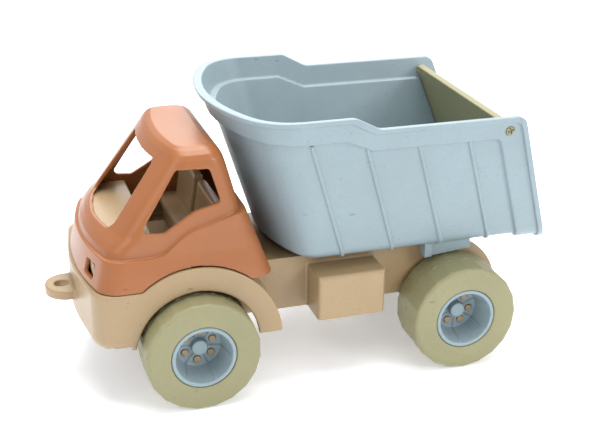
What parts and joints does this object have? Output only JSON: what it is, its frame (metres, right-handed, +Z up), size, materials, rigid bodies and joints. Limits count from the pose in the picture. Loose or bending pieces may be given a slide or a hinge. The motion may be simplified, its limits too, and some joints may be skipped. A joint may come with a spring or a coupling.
{
  "type": "push along tipper truck",
  "caption": "Toy tipper truck in moulded plastic: cab shell over a chassis with fenders, rolling dished wheels, a tipping tub and a hanging tailgate.",
  "frame": {"origin": "on the ground, below the middle of the bounding box", "axes": "+X forward (towards the cab and tow eye), +Y the truck's left, +Z up; the wheels turn about Y"},
  "size_m": [0.2691, 0.1294, 0.1507],
  "materials": {
    "sand_plastic": "satin, fine dark fibre flecks",
    "terracotta_plastic": "satin, fine dark fibre flecks",
    "blue_plastic": "satin, fine dark fibre flecks",
    "green_plastic": "satin, fine dark fibre flecks",
    "steel_rod": "plain drawn rod"
  },
  "bodies": {
    "truck": {"chassis": "sand_plastic", "cab_shell": "terracotta_plastic", "cab_interior": "sand_plastic", "tub_hinge_pin": "steel_rod"},
    "tub": {"tub": "blue_plastic"},
    "tailgate": {"tailgate": "green_plastic"},
    "front_wheels": {"front_axle": "steel_rod", "tyre_front_left": "green_plastic", "rim_front_left": "blue_plastic", "hub_disc_front_left": "sand_plastic", "tyre_front_right": "green_plastic", "rim_front_right": "blue_plastic", "hub_disc_front_right": "sand_plastic"},
    "rear_wheels": {"rear_axle": "steel_rod", "tyre_rear_left": "green_plastic", "rim_rear_left": "blue_plastic", "hub_disc_rear_left": "sand_plastic", "tyre_rear_right": "green_plastic", "rim_rear_right": "blue_plastic", "hub_disc_rear_right": "sand_plastic"}
  },
  "joints": [
    {"name": "tub_tip", "type": "hinge", "parent": "truck", "child": "tub", "pos_m": [-0.0925, 0, 0.048], "axis": [0, -1, 0], "range_deg": [0, 45]},
    {"name": "tailgate_swing", "type": "hinge", "parent": "tub", "child": "tailgate", "pos_m": [-0.1009, 0, 0.1357], "axis": [0, 1, 0], "range_deg": [0, 75]},
    {"name": "front_wheels_roll", "type": "hinge", "parent": "truck", "child": "front_wheels", "pos_m": [0.0635, 0, 0.03], "axis": [0, 1, 0], "continuous": true},
    {"name": "rear_wheels_roll", "type": "hinge", "parent": "truck", "child": "rear_wheels", "pos_m": [-0.0818, 0, 0.03], "axis": [0, 1, 0], "continuous": true}
  ]
}
